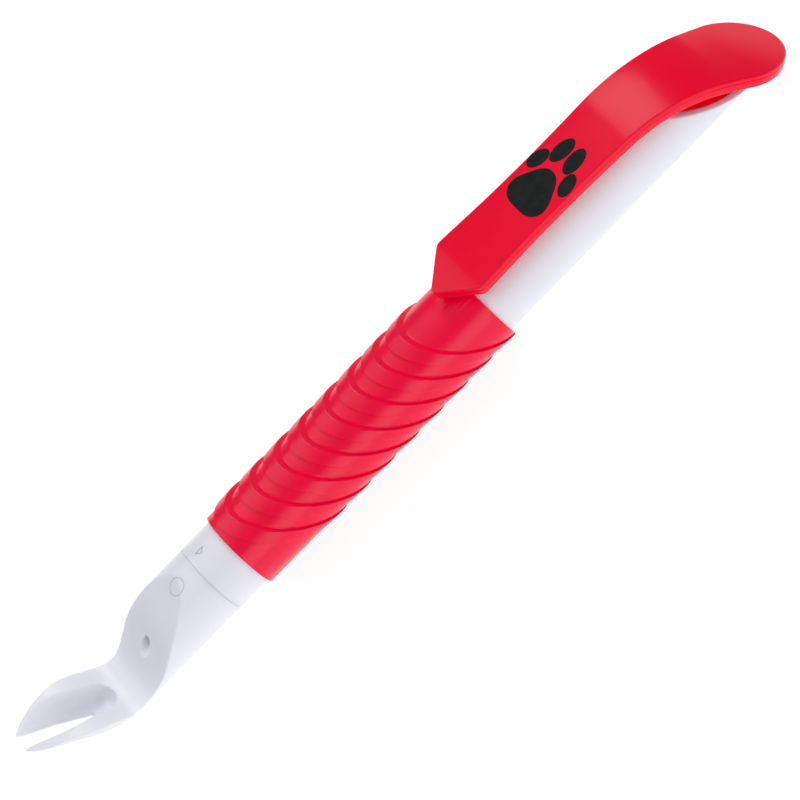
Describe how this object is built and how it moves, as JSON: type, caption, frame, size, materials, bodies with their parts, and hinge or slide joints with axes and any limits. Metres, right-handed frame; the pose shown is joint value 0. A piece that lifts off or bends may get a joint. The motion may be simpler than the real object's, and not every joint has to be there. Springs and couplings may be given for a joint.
{
  "type": "lighted tick hook",
  "caption": "Pen-shaped pet tick remover: white forked spoon hook with a light port, white barrel with a ribbed red grip sleeve, and a red pocket clip that wraps over the tail.",
  "frame": {"origin": "bottom centre of the tool's box, under the barrel's axis at mid-length", "axes": "+X along the barrel from the fork tips to the tail, +Z from the barrel towards the pocket clip, +Y across the tool"},
  "size_m": [0.15, 0.014, 0.0176],
  "materials": {
    "white_abs": "satin moulded",
    "red_grip": "satin soft-touch",
    "red_plastic": "glossy moulded",
    "clear_epoxy": "polished",
    "tinned_wire": "drawn",
    "black_plastic": "moulded",
    "sheet_brass": "stamped",
    "cell_steel": "nickel plated",
    "spring_steel": "drawn",
    "black_rubber": "matt"
  },
  "bodies": {
    "barrel": {"barrel": "white_abs", "grip_sleeve": "red_grip", "tail_plug": "red_plastic"},
    "cartridge": {"lamp": "clear_epoxy", "anode_lead": "tinned_wire", "cathode_lead": "tinned_wire", "lamp_holder": "black_plastic", "switch_leaf": "sheet_brass", "centre_contact": "sheet_brass", "cell_tube": "black_plastic", "button_cell_1": "cell_steel", "button_cell_2": "cell_steel", "button_cell_3": "cell_steel", "cell_spring": "spring_steel", "spring_cap": "black_plastic", "contact_strip": "sheet_brass"},
    "head": {"fork_head": "white_abs", "seal_ring": "black_rubber", "switch_pad": "sheet_brass"},
    "clip": {"pocket_clip": "red_plastic"}
  },
  "joints": [
    {"name": "head_pull", "type": "slide", "parent": "barrel", "child": "cartridge", "axis": [-1, 0, 0], "range_m": [0, 0.03]},
    {"name": "head_twist", "type": "hinge", "parent": "cartridge", "child": "head", "pos_m": [-0.0387, 0, 0.00787], "axis": [1, 0, 0], "range_deg": [0, 90]},
    {"name": "clip_flex", "type": "hinge", "parent": "barrel", "child": "clip", "pos_m": [0.0623, 0, 0.00987], "axis": [0, 1, 0], "range_deg": [0, 4], "stiffness_Nm_per_rad": 1.5}
  ]
}
